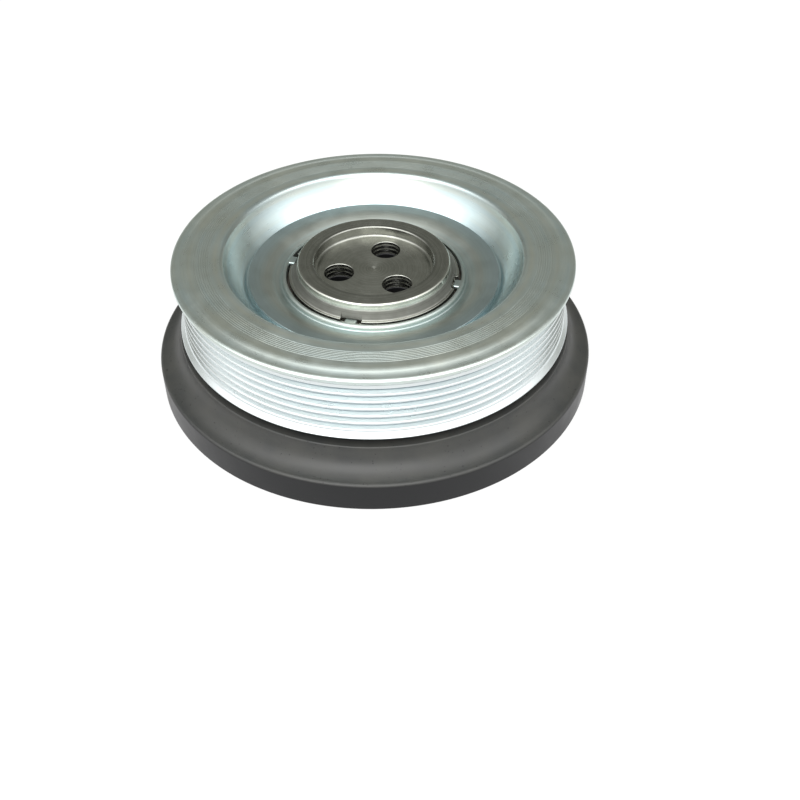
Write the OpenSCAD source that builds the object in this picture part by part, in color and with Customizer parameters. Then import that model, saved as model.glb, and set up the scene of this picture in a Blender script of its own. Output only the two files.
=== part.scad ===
// Harmonic balancer: a decoupled crankshaft belt pulley with a torsional vibration damper.
// Units are millimetres. It turns about Z. The crankshaft joins the back face, at z = 0,
// and the belt pulley's front face looks up, along +Z.
// Every turned, cast, spun or moulded piece is one outline carried round the axis.

/* [Bolting] */
// Diameter of the circle that the bolt holes lie on
bolt_circle_d = 30; // [28:0.5:33]
// Number of bolt holes
bolt_count = 3; // [2:1:4]
// Direction of the first bolt hole, in degrees from +X
bolt_turn = 71; // [0:1:359]
// Diameter of a bolt hole
bolt_hole_d = 12.6; // [10:0.1:13]
// Chamfer at both ends of a bolt hole
bolt_hole_chamfer = 0.4; // [0.1:0.1:0.6]

/* [Front hub] */
// Thickness of the floor that the bolt heads seat on
floor_t = 6; // [4:0.1:8]
// Depth of the round recess above that floor
recess_h = 4.7; // [3:0.1:7]
// Radius between the recess wall and its floor
recess_fillet = 1.2; // [0.4:0.1:2]
// Width of the raised front ring, from the recess to its outer edge
nose_w = 6.9; // [5.5:0.1:8]
// Chamfer on the outer edge of the front ring
nose_chamfer = 0.7; // [0.2:0.1:1.2]
// Outer diameter of the notched flange
flange_d = 72.2; // [70:0.1:76]
// Width of the step from the front ring's edge to the flange's edge
flange_step_w = 3.9; // [3.2:0.1:5]
// Thickness of the notched flange at its lip
flange_lip_t = 2.4; // [2.1:0.1:3]
// Width of the narrow land round the lip
flange_lip_w = 0.9; // [0.3:0.1:1.4]
// Height of the cone between the lip and the front ring
flange_cone_h = 1.9; // [1:0.1:2.5]
// Radius at the foot of the front ring
nose_foot_r = 1.2; // [0.3:0.1:1.6]
// Diameter of the centre mark in the floor
centre_mark_d = 3.2; // [1:0.1:5]
// Depth of the centre mark
centre_mark_h = 1.2; // [0.4:0.1:2]

/* [Rotation stops] */
// Number of lugs on the pulley's collar, each in its own notch
lug_count = 4; // [2:1:6]
// Direction of the first lug, in degrees from +X
lug_turn = 75.8; // [0:0.1:89]
// Width of a lug
lug_w = 5.2; // [4:0.1:7]
// Thickness of a lug
lug_t = 1.9; // [1.4:0.1:2.2]
// Radius on the corners of a lug's tip
lug_corner_r = 1; // [0.3:0.1:1.8]
// Gap between a lug's tip and the bottom of its notch
lug_tip_gap = 0.5; // [0.4:0.1:0.8]
// Depth of a notch from the flange's edge
notch_depth = 2.1; // [1.8:0.1:2.6]
// Turn of the pulley either way before a lug meets its notch, in degrees
twist = 2.5; // [1:0.1:4]
// Room that is left beside a lug at the end of that turn
stop_gap = 0.3; // [0.2:0.1:0.5]

/* [Damper hub] */
// Height of the damper hub, from the crankshaft end to its joint with the front hub
hub_h = 41.3; // [38:0.1:46]
// Diameter of the spigot that centres the front hub
spigot_d = 57.8; // [54:0.1:60]
// Height of that spigot
spigot_h = 2.2; // [1.5:0.1:3]
// Diameter of the recess that takes the crankshaft nose
pilot_d = 48; // [46:0.1:52]
// Depth of that recess
pilot_h = 3; // [2:0.1:5]
// Outer diameter of the central boss at the back
boss_d = 73; // [64:0.5:76]
// Thickness of the web between the boss and the rim
web_t = 8; // [6:0.1:11]
// Outer diameter of the seat for the coupling spring
seat_d = 108; // [102:0.5:112]
// Wall of the hub under that seat
seat_wall = 5; // [4:0.1:7]
// Outer diameter of the rim that carries the damper rubber
rim_d = 125; // [119:0.5:127]
// Wall of that rim
rim_wall = 7.5; // [5:0.1:9]
// Height of that rim's step above the back
rim_h = 22.2; // [20:0.1:24]
// How far the rim's back stands in from the crankshaft end
rim_setback = 1; // [0.5:0.1:3]
// Radius of the inner corners of the cast pocket
pocket_fillet = 3.5; // [1:0.1:5]

/* [Inertia ring] */
// Outer diameter of the inertia ring
ring_d = 189; // [184:0.5:200]
// Height of the inertia ring
ring_h = 23.3; // [20:0.1:24.5]
// Diameter at the top of the cove
cove_top_d = 168.6; // [160:0.2:174]
// Height of the straight side below the cove
ring_side_h = 12.9; // [8:0.1:16]
// Radius of the edge below the cove
ring_edge_r = 1.3; // [0.5:0.1:2.5]
// Radius of the edge at the top of the cove
cove_edge_r = 0.5; // [0.2:0.1:1]
// Chamfer on the back edges of the inertia ring
ring_back_chamfer = 0.8; // [0.3:0.1:2]

/* [Damper rubber] */
// Thickness of the rubber between the rim and the inertia ring
damper_rubber_t = 3.5; // [2.5:0.1:6]
// Height of that rubber
damper_rubber_h = 17; // [12:0.1:18]
// Gap below that rubber
damper_rubber_z = 3.2; // [2.5:0.1:4]
// Depth of the hollow in each free face of a rubber piece
rubber_hollow = 0.8; // [0:0.1:1.2]

/* [Belt track] */
// Diameter over the tips of the ribs
belt_d = 163.4; // [160:0.2:165]
// Number of grooves for the ribbed belt
groove_count = 6; // [3:1:6]
// Distance from groove to groove
groove_pitch = 3.56; // [3.3:0.01:3.7]
// Angle between the two sides of a groove
groove_angle = 40; // [36:1:44]
// Depth of a groove
groove_depth = 2.4; // [2:0.1:2.6]
// Width of a groove's flat bottom
groove_bottom_w = 0.9; // [0.6:0.1:1]
// Radius of a rib's edges and a groove's corners
rib_edge_r = 0.35; // [0.1:0.05:0.4]
// Distance from the front face to the middle of the first groove
first_groove_z = 8.1; // [7.5:0.1:9]
// Wall of the pulley under the grooves
track_wall = 2.6; // [2:0.1:4]
// Width of the plain land behind the last groove
land_w = 3.8; // [3:0.1:5]
// Diameter of the flared back edge
flare_d = 166.6; // [165:0.2:168]
// Width of the flare
flare_w = 1.6; // [0.8:0.1:2.2]

/* [Pulley front] */
// Largest diameter of the pulley's front flange
front_d = 168.4; // [167:0.2:172]
// Drop from the front face to the middle of the flange's edge
front_edge_drop = 2.2; // [2:0.1:2.8]
// Height of the flange's edge
front_edge_h = 0.8; // [0.4:0.1:1]
// Distance from the front face to the belt track
track_drop = 5; // [4:0.1:5.6]
// Width of the rounded bead and lip outside the flat front face
border_w = 7.4; // [6:0.1:9]
// Width of the lip at the very edge
edge_lip_w = 2.1; // [1.7:0.1:2.6]
// Drop from the front face to the end of the bead
bead_drop = 1.1; // [0.6:0.1:1.3]
// Depth of the crease between the bead and the lip
crease_h = 0.3; // [0.1:0.1:0.4]
// Number of fine turned rings on the front face
face_ring_count = 7; // [0:1:8]
// Distance from ring to ring
face_ring_pitch = 0.92; // [0.7:0.01:1]
// Depth of a ring
face_ring_depth = 0.15; // [0.05:0.05:0.2]
// Width of a ring
face_ring_w = 0.5; // [0.3:0.1:0.6]
// Diameter of the outermost ring
face_ring_d = 148.6; // [146:0.2:150]
// Radial width of the dish's wall
dish_wall_w = 9; // [7:0.1:12]
// How far the dish's wall bows out from a straight cone
dish_wall_bow = 1; // [0.4:0.1:1.6]
// Radius at the foot of the dish's wall
dish_foot_fillet = 1.2; // [0.5:0.1:2]
// Thickness of the sheet in the dish
sheet_t = 2; // [1.6:0.1:3]
// Thickness of the front face
face_t = 3.6; // [3:0.1:5]
// Radius of the inner corner behind the front flange
shell_corner_r = 4; // [1:0.1:5]

/* [Stop plate] */
// Thickness of the plate
plate_t = 1.6; // [1.2:0.1:1.8]
// Depth of the plate's outer edge below the front face
plate_drop = 10.4; // [9:0.1:12]
// Height of the plate's outer edge above the bend in the plate
plate_edge_rise = 0.8; // [0:0.1:1.2]
// Height of that bend above the foot of the collar
plate_rise = 2.6; // [2:0.1:3]
// Width of the slope from the collar to that bend
plate_slope_w = 6.4; // [5:0.1:9]
// Width of the plate outside that bend
plate_rim_w = 7.6; // [5:0.1:10]
// Radius of that bend
plate_bend_r = 18; // [4:1:24]
// Height of the collar's foot above the back of the dish
foot_h = 2.7; // [2.5:0.1:3.5]
// Height of the collar above its foot
collar_h = 2.6; // [2.2:0.1:4]
// Width of the collar's rounded top
collar_w = 1.9; // [1.2:0.1:2.4]
// Height of that rounded top
collar_crown_h = 1.4; // [0.8:0.1:1.5]
// Radius at the foot of the collar
collar_foot_r = 0.7; // [0.3:0.1:0.8]
// Radius of the bend from the plate's back into the collar's bore
collar_bend_r = 1.8; // [0.5:0.1:2]
// Width of the dish's floor inside the plate's bend
seat_lip_w = 4; // [3.5:0.1:5]

/* [Bush] */
// Wall of the bush
bush_t = 2.7; // [2:0.1:3.2]
// Thickness of the bush's thrust flange
bush_flange_t = 1.5; // [1:0.1:2.5]
// Diameter of that flange
bush_flange_d = 92; // [86:0.5:98]

/* [Coupling spring] */
// Wall of the inner sleeve
inner_sleeve_t = 2; // [1.5:0.1:3]
// Height of the inner sleeve
inner_sleeve_h = 11; // [9:0.1:13]
// Wall of the outer sleeve
outer_sleeve_t = 2; // [1.5:0.1:3]
// Height of the outer sleeve
outer_sleeve_h = 11; // [9:0.1:13]
// Gap between the pulley's back edge and the outer sleeve
outer_sleeve_z = 1.4; // [0.5:0.1:3]
// Height of the rubber between the sleeves
spring_rubber_h = 9; // [7:0.1:11]

/* [Clearances] */
// Gap between pieces that are pressed, welded or bonded together
seat_gap = 0.02; // [0.01:0.01:0.05]
// Gap all round between the notched flange and the collar
collar_gap = 1.1; // [0.6:0.1:1.5]
// Gap all round between the bush and the collar
running_gap = 0.08; // [0.05:0.01:0.1]
// Gap between the plate's edge and the foot of the dish's wall
plate_edge_gap = 0.9; // [0.6:0.1:1.5]
// Gap between the bush's thrust flange and the pulley
thrust_gap = 0.1; // [0.05:0.05:0.3]
// Gap between the rubber and the sleeve that turns with the pulley
bond_gap = 0.2; // [0.1:0.05:0.3]
// Gap between the bush and the notched flange above it
bush_top_gap = 0.4; // [0.2:0.1:0.6]
// Gap between a lug and the floor of its notch
lug_floor_gap = 0.5; // [0.3:0.1:0.8]

/* [Hidden] */
$fn = 96;

// Small chamfer that breaks a sharp turned edge.
edge_break = 0.4;
// Length that a cutting tool runs past the face it cuts.
overrun = 1;

// Heights along the axis, from the crankshaft end.
shoulder_z = hub_h - spigot_h;
floor_z = hub_h + floor_t;
nose_z = floor_z + recess_h;
dish_back_z = shoulder_z + bush_flange_t + thrust_gap;
foot_z = dish_back_z + foot_h;
bend_z = foot_z + plate_rise;
edge_z = bend_z + plate_edge_rise;
face_z = edge_z + plate_drop;
collar_z = foot_z + collar_h;
lug_z = collar_z - lug_t;
notch_z = lug_z - lug_floor_gap;
lip_z = notch_z + flange_lip_t;
bush_z = notch_z - bush_top_gap;
web_z = shoulder_z - web_t;

// Heights of the belt track.
first_z = face_z - first_groove_z;
last_z = first_z - (groove_count - 1) * groove_pitch;
track_back_z = last_z - land_w;
spring_z = track_back_z + outer_sleeve_z + (outer_sleeve_h - spring_rubber_h) / 2;

// Radii that several pieces share.
tip_r = belt_d / 2;
bottom_r = tip_r - groove_depth;
shell_r = bottom_r - track_wall;
flange_r = flange_d / 2;
notch_r = flange_r - notch_depth;
lug_tip_r = notch_r + lug_tip_gap;
nose_r = flange_r - flange_step_w;
recess_r = nose_r - nose_w;
collar_r = flange_r + collar_gap;
journal_r = collar_r - running_gap - bush_t - seat_gap;
ring_bore_r = rim_d / 2 + damper_rubber_t;
foot_r = collar_r + collar_w;
bend_r = foot_r + plate_slope_w;
plate_r = bend_r + plate_rim_w;
seat_bore_r = bend_r - seat_lip_w;
dish_foot_r = plate_r + plate_edge_gap;
dish_r = dish_foot_r + dish_wall_w;
inner_sleeve_r = seat_d / 2 + seat_gap;
spring_r = inner_sleeve_r + inner_sleeve_t + seat_gap;
outer_sleeve_r = shell_r - seat_gap - outer_sleeve_t;

// Half the width of a notch: half a lug, the way its outer corner travels, and the room left.
notch_half_w = lug_w / 2 + flange_r * sin(twist) + stop_gap;

// Unit vector along v.
function unit(v) = v / norm(v);

// Angle from direction a to direction b, between -180 and 180 degrees.
function turn(a, b) = atan2(a[0] * b[1] - a[1] * b[0], a * b);

// Points round the corner q, on the way from p to s, with radius rad.
function corner(p, q, s, rad) =
    let (u = unit(p - q), v = unit(s - q), half = abs(turn(u, v)) / 2)
    rad == 0 || half > 89 ? [q] :
    let (centre = q + unit(u + v) * rad / sin(half),
         from = q + u * rad / tan(half) - centre,
         to = q + v * rad / tan(half) - centre,
         sweep = turn(from, to),
         steps = max(2, ceil(abs(sweep) / (rad > 2 ? 6 : 20))),
         start = atan2(from[1], from[0]))
    [for (i = [0:steps]) centre + rad * [cos(start + sweep * i / steps), sin(start + sweep * i / steps)]];

// Outline through points given as [radius, height, corner radius].
function outline(pts) =
    let (n = len(pts), at = [for (p = pts) [p[0], p[1]]])
    [for (i = [0:n - 1]) each corner(at[(i + n - 1) % n], at[i], at[(i + 1) % n], pts[i][2])];

// Part of an ellipse round the centre c, with half axes a and b, from angle start.
function arc(c, a, b, start, sweep, steps = 14) =
    [for (i = [0:steps], t = [start + sweep * i / steps]) [c[0] + a * cos(t), c[1] + b * sin(t), 0]];

// The point beside q, t away from the line p to q and from the line q to s, on their right.
function beside(p, q, s, t) =
    let (a = unit(q - p), b = unit(s - q), side = [a[1], -a[0]], mean = unit(side + [b[1], -b[0]]))
    q + mean * t / (mean * side);

// Height at radius r on the line t below the plate's slope between its collar and its bend.
function slope_z(r, t) =
    let (u = unit([bend_r - foot_r, plate_rise]))
    foot_z + (r - foot_r) * u[1] / u[0] - t / u[0];

// Height at radius r on the line t below the plate's slope between its bend and its edge.
function rim_z(r, t) =
    let (u = unit([plate_r - bend_r, plate_edge_rise]))
    edge_z + (r - plate_r) * u[1] / u[0] - t / u[0];

// The plate's bend, carried t below its upper side.
function bend_below(t) = beside([foot_r, foot_z], [bend_r, bend_z], [plate_r, edge_z], t);

// A solid of revolution about Z from an outline.
module turned(pts) {
    rotate_extrude() polygon(outline(pts));
}

// The bolt holes, from height z0 to height z1, with a chamfer at both ends.
module bolt_holes(z0, z1) {
    r = bolt_hole_d / 2;
    c = bolt_hole_chamfer;
    for (i = [0:bolt_count - 1])
        rotate([0, 0, bolt_turn + i * 360 / bolt_count])
            translate([bolt_circle_d / 2, 0, 0])
                rotate_extrude()
                    polygon([[0, z0 - overrun], [r + c + overrun, z0 - overrun], [r, z0 + c],
                             [r, z1 - c], [r + c + overrun, z1 + overrun], [0, z1 + overrun]]);
}

// Front hub: turned from bare steel, with the recess for the bolt heads and the notched flange.
module front_hub() {
    r_cone = flange_r - flange_lip_w - flange_cone_h;
    color([0.62, 0.61, 0.57])
        difference() {
            turned([[0, hub_h, 0],
                    [spigot_d / 2 + seat_gap, hub_h, 0],
                    [spigot_d / 2 + seat_gap, shoulder_z, 0],
                    [journal_r, shoulder_z, edge_break],
                    [journal_r, notch_z, 0],
                    [flange_r, notch_z, edge_break],
                    [flange_r, lip_z, edge_break],
                    [flange_r - flange_lip_w, lip_z + 0.1, 0],
                    [r_cone, lip_z + flange_cone_h, 0],
                    [nose_r, lip_z + flange_cone_h + (r_cone - nose_r), nose_foot_r],
                    [nose_r, nose_z - nose_chamfer, 0],
                    [nose_r - nose_chamfer, nose_z, 0],
                    [recess_r + edge_break, nose_z, 0],
                    [recess_r, nose_z - edge_break, 0],
                    [recess_r, floor_z, recess_fillet],
                    [centre_mark_d / 2, floor_z, 0],
                    [0, floor_z - centre_mark_h, 0]]);
            bolt_holes(hub_h, floor_z);
            for (i = [0:lug_count - 1])
                rotate([0, 0, lug_turn + i * 360 / lug_count])
                    translate([notch_r, -notch_half_w, notch_z])
                        cube([notch_depth + overrun, 2 * notch_half_w, nose_z]);
        }
}

// Damper hub: cast, with the boss, the web, the spring's seat and the rim for the damper rubber.
module damper_hub() {
    r_pocket = seat_d / 2 - seat_wall;
    r_rim_in = rim_d / 2 - rim_wall;
    z_step = rim_h - (r_rim_in - r_pocket);
    color([0.13, 0.13, 0.14])
        difference() {
            turned([[0, pilot_h, 0],
                    [pilot_d / 2, pilot_h, 0],
                    [pilot_d / 2, 0, edge_break],
                    [boss_d / 2, 0, edge_break],
                    [boss_d / 2, web_z, pocket_fillet],
                    [r_pocket, web_z, pocket_fillet],
                    [r_pocket, rim_h, pocket_fillet],
                    [r_rim_in, z_step, pocket_fillet],
                    [r_rim_in, rim_setback, edge_break],
                    [rim_d / 2, rim_setback, edge_break],
                    [rim_d / 2, rim_h, edge_break],
                    [seat_d / 2, rim_h, 0],
                    [seat_d / 2, shoulder_z, edge_break],
                    [spigot_d / 2, shoulder_z, 0],
                    [spigot_d / 2, hub_h, edge_break],
                    [0, hub_h, 0]]);
            bolt_holes(pilot_h, hub_h);
        }
}

// A rubber ring between two radii, with a hollow in each free face.
module rubber_ring(r0, r1, z, h) {
    mid = (r0 + r1) / 2;
    half_w = (r1 - r0) / 2;
    turned(concat(arc([mid, z], half_w, rubber_hollow, 180, -180, 8),
                  arc([mid, z + h], half_w, rubber_hollow, 0, -180, 8)));
}

// Rubber between the hub's rim and the inertia ring.
module damper_rubber() {
    color([0.07, 0.07, 0.07])
        rubber_ring(rim_d / 2 + seat_gap, ring_bore_r - seat_gap, damper_rubber_z, damper_rubber_h);
}

// Inertia ring: cast iron, painted satin black, with a concave cove from its top to its side.
module inertia_ring() {
    r_out = ring_d / 2;
    r_cove = r_out - ring_edge_r;
    z_cove = ring_h - cove_edge_r;
    color([0.17, 0.17, 0.18])
        turned(concat([[ring_bore_r, 0, ring_back_chamfer],
                       [r_out, 0, ring_back_chamfer],
                       [r_out, ring_side_h, ring_edge_r]],
                      arc([r_cove, z_cove], r_cove - cove_top_d / 2, z_cove - ring_side_h, 270, -90),
                      [[cove_top_d / 2, ring_h, cove_edge_r],
                       [ring_bore_r, ring_h, edge_break]]));
}

// Bush: pressed on the front hub's journal. The collar turns on it, over its thrust flange.
module journal_bush() {
    r_run = collar_r - running_gap;
    color([0.25, 0.23, 0.2])
        turned([[journal_r + seat_gap, shoulder_z + seat_gap, 0],
                [bush_flange_d / 2, shoulder_z + seat_gap, edge_break],
                [bush_flange_d / 2, shoulder_z + bush_flange_t, edge_break],
                [r_run, shoulder_z + bush_flange_t, 0],
                [r_run, bush_z, edge_break],
                [journal_r + seat_gap, bush_z, 0]]);
}

// Sleeve of the coupling spring that is pressed on the damper hub's seat.
module spring_inner_sleeve() {
    z = spring_z + (spring_rubber_h - inner_sleeve_h) / 2;
    color([0.5, 0.5, 0.52])
        turned([[inner_sleeve_r, z, edge_break],
                [inner_sleeve_r + inner_sleeve_t, z, edge_break],
                [inner_sleeve_r + inner_sleeve_t, z + inner_sleeve_h, edge_break],
                [inner_sleeve_r, z + inner_sleeve_h, edge_break]]);
}

// Rubber of the coupling spring. The belt turns the pulley a little against it.
module spring_rubber() {
    color([0.07, 0.07, 0.07])
        rubber_ring(spring_r, outer_sleeve_r - bond_gap, spring_z, spring_rubber_h);
}

// Sleeve of the coupling spring that is pressed into the pulley.
module spring_outer_sleeve() {
    z = track_back_z + outer_sleeve_z;
    color([0.5, 0.5, 0.52])
        turned([[outer_sleeve_r, z, edge_break],
                [outer_sleeve_r + outer_sleeve_t, z, edge_break],
                [outer_sleeve_r + outer_sleeve_t, z + outer_sleeve_h, edge_break],
                [outer_sleeve_r, z + outer_sleeve_h, edge_break]]);
}

// Points of one belt groove round the height z, from its upper edge to its lower edge.
function groove(z) =
    let (half_bottom = groove_bottom_w / 2,
         half_top = half_bottom + groove_depth * tan(groove_angle / 2))
    [[tip_r, z + half_top, rib_edge_r],
     [bottom_r, z + half_bottom, rib_edge_r],
     [bottom_r, z - half_bottom, rib_edge_r],
     [tip_r, z - half_top, rib_edge_r]];

// Points of the fine rings on the front face, from the innermost outwards.
function face_rings() =
    [for (i = [0:face_ring_count - 1], r = [face_ring_d / 2 - (face_ring_count - 1 - i) * face_ring_pitch])
        each [[r - face_ring_w / 2, face_z, 0],
              [r, face_z - face_ring_depth, 0],
              [r + face_ring_w / 2, face_z, 0]]];

// Belt pulley: spun from one steel sheet and zinc plated, with the belt track and the deep dish.
module belt_pulley() {
    r_front = front_d / 2;
    r_crease = r_front - edge_lip_w;
    z_crease = face_z - bead_drop - crease_h;
    z_back_face = face_z - face_t;
    // The bead is an arc that leaves the flat face and bends down to the crease.
    bead_w = (border_w - edge_lip_w - crease_h) / 2;
    bead_r = 0.9 * bead_w / tan(atan(bead_drop / bead_w) / 2);
    // The plate's seat, one gap below the plate, runs out to the foot of the dish's wall.
    under = plate_t + seat_gap;
    seat_bend = bend_below(under);
    foot = [dish_foot_r, rim_z(dish_foot_r, under)];
    top = [dish_r, face_z];
    // The wall is an arc from that foot to the front face. Its back is the same arc, one sheet outside.
    chord = norm(top - foot);
    wall_r = (chord * chord / 4 + dish_wall_bow * dish_wall_bow) / (2 * dish_wall_bow);
    along = unit(top - foot);
    centre = (foot + top) / 2 + [-along[1], along[0]] * (wall_r - dish_wall_bow);
    from_foot = atan2(foot[1] - centre[1], foot[0] - centre[0]);
    to_top = turn(foot - centre, top - centre);
    back_r = wall_r + sheet_t;
    back_top = asin((z_back_face - centre[1]) / back_r);
    color([0.66, 0.70, 0.70])
        turned(concat([[seat_bore_r, dish_back_z, edge_break],
                       [seat_bore_r, slope_z(seat_bore_r, under), edge_break],
                       [seat_bend[0], seat_bend[1], plate_bend_r],
                       [foot[0], foot[1], dish_foot_fillet]],
                      arc(centre, wall_r, wall_r, from_foot + to_top / 12, to_top * 5 / 6, 10),
                      [[top[0], top[1], 0]],
                      face_rings(),
                      [[r_front - border_w + bead_w, face_z, bead_r],
                       [r_crease - crease_h, z_crease + crease_h, 0.3],
                       [r_crease, z_crease, 0.15],
                       [r_crease + 0.6, z_crease + crease_h / 2, 0.8],
                       [r_front, face_z - front_edge_drop + front_edge_h / 2, 0.3],
                       [r_front, face_z - front_edge_drop - front_edge_h / 2, 0.3],
                       [tip_r, face_z - track_drop, 1]],
                      [for (i = [0:groove_count - 1]) each groove(first_z - i * groove_pitch)],
                      [[tip_r, track_back_z + flare_w, 1],
                       [flare_d / 2, track_back_z, 0.4],
                       [shell_r, track_back_z, edge_break],
                       [shell_r, z_back_face, shell_corner_r]],
                      arc(centre, back_r, back_r, back_top, from_foot - back_top, 10),
                      [[bush_flange_d / 2 + edge_break, dish_back_z, 2]]));
}

// One stop lug, along +X, from inside the collar's wall to its tip.
module lug() {
    w = lug_w / 2;
    c = lug_corner_r;
    root = collar_r + collar_w / 2;
    translate([0, 0, lug_z])
        linear_extrude(height = lug_t)
            polygon(outline([[root, -w, 0], [lug_tip_r, -w, c], [lug_tip_r, w, c], [root, w, 0]]));
}

// Stop plate: stamped, zinc plated and welded into the dish. Its collar turns on the bush and
// carries the stop lugs.
module stop_plate() {
    under_bend = bend_below(plate_t);
    color([0.63, 0.67, 0.67])
        union() {
            turned(concat([[collar_r, slope_z(collar_r, plate_t), collar_bend_r],
                           [collar_r, collar_z, edge_break]],
                          arc([collar_r + edge_break, collar_z - collar_crown_h],
                              collar_w - edge_break, collar_crown_h, 84, -84, 4),
                          [[foot_r, foot_z, collar_foot_r],
                           [bend_r, bend_z, plate_bend_r],
                           [plate_r, edge_z, 0.3],
                           [plate_r, rim_z(plate_r, plate_t), 0.3],
                           [under_bend[0], under_bend[1], plate_bend_r]]));
            for (i = [0:lug_count - 1])
                rotate([0, 0, lug_turn + i * 360 / lug_count])
                    lug();
        }
}

front_hub();
damper_hub();
damper_rubber();
inertia_ring();
journal_bush();
spring_inner_sleeve();
spring_rubber();
spring_outer_sleeve();
belt_pulley();
stop_plate();
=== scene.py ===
"""Looks of the harmonic balancer: finely turned surfaces, procedural finishes, a soft studio and the camera.

The CAD frame gives the hidden pieces. The four pieces that show, the front hub, the belt pulley, its stop
plate and the inertia ring, are surfaces of revolution worked out here with smooth arcs. Each replaces its CAD
node. All sizes in the classes are millimetres in the frame of the part. Meshes are built in metres.
"""

import enum
import logging
import math
from collections.abc import Sequence
from dataclasses import dataclass, field

import bmesh
import bpy
import numpy as np
from mathutils import Matrix, Vector


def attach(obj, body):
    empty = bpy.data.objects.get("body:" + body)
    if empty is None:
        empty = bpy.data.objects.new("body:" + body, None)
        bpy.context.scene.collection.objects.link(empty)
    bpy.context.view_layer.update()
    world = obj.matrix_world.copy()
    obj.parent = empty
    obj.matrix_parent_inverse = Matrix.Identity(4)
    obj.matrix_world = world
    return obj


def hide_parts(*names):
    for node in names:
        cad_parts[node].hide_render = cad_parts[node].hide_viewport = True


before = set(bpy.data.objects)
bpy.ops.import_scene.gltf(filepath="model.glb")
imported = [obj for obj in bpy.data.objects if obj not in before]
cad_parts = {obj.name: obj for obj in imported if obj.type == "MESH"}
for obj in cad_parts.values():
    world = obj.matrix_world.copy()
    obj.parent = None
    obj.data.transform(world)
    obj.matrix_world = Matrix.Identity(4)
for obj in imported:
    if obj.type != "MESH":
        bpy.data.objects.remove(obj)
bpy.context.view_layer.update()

log = logging.getLogger("balancer")

Array = np.ndarray
Corner = tuple[float, float, float]
Point = tuple[float, float]
Tree = bpy.types.NodeTree
Node = bpy.types.Node
Socket = bpy.types.NodeSocket
Value = Node | Socket
Sockets = dict[str, object] | Sequence[object]

MM = 0.001

# A noise lies almost wholly between these two values.
NOISE_SPAN = (0.3, 0.7)
# How strongly each finer layer of a noise shows.
NOISE_ROUGHNESS = 0.6
# How much smoother and rougher than its mean a metal or painted surface gets in patches.
SMOOTHER, ROUGHER = 0.04, 0.06


# Colours and nodes


def linear(hex_code: str) -> tuple[float, float, float, float]:
    """Turns an sRGB colour into the linear colour that a shader takes.

    Each channel c becomes c / 12.92 below 0.04045, and ((c + 0.055) / 1.055) to the power 2.4 above it.

    Args:
        hex_code: six hex digits, such as "c0c4c2".

    Returns:
        Linear red, green, blue and an alpha of 1.
    """
    c = np.array([int(hex_code[i : i + 2], 16) for i in (0, 2, 4)]) / 255
    lin = np.where(c <= 0.04045, c / 12.92, ((c + 0.055) / 1.055) ** 2.4)
    return (float(lin[0]), float(lin[1]), float(lin[2]), 1.0)


def fill(tree: Tree, node: Node, sockets: Sockets) -> None:
    """Sets or links a node's inputs.

    Only the inputs in use count, because a node hides those that its settings don't need.

    Args:
        tree: the tree that the node is in.
        node: the node.
        sockets: a value for each input, by the input's name, or for the first inputs in their order. A value
            is a number, a vector or a colour to set, or another node or its output to link. A node stands for
            the first of its outputs in use.
    """
    used = [socket for socket in node.inputs if socket.enabled]
    named = {socket.name: socket for socket in reversed(used)}
    pairs = [(named[k], v) for k, v in sockets.items()] if isinstance(sockets, dict) else zip(used, sockets)
    for socket, value in pairs:
        if isinstance(value, Node):
            value = next(output for output in value.outputs if output.enabled)
        if isinstance(value, Socket):
            tree.links.new(value, socket)
        else:
            socket.default_value = value


def add(tree: Tree, kind: str, sockets: Sockets = (), **settings: object) -> Node:
    """Adds one node, sets its properties, and sets or links its inputs.

    Args:
        tree: the tree that the node goes into.
        kind: the node's type without its prefix, such as "TexNoise".
        sockets: values for its inputs, as fill takes them. A MapRange takes the value, the start and the end
            of its span, and the results there, in that order, and holds the result between the two.
        settings: its properties. A ramp's stops are positions and sRGB hex colours, in order.

    Returns:
        The new node.
    """
    node = tree.nodes.new("ShaderNode" + kind)
    stops = settings.pop("stops", ())
    for key, value in settings.items():
        setattr(node, key, value)
    if stops:
        ends = node.color_ramp.elements
        ends[0].position, ends[1].position = stops[0][0], stops[-1][0]
        for position, _ in stops[1:-1]:
            ends.new(position)
        for end, (_, colour) in zip(ends, stops):
            end.color = linear(colour)
    fill(tree, node, sockets)
    return node


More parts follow.
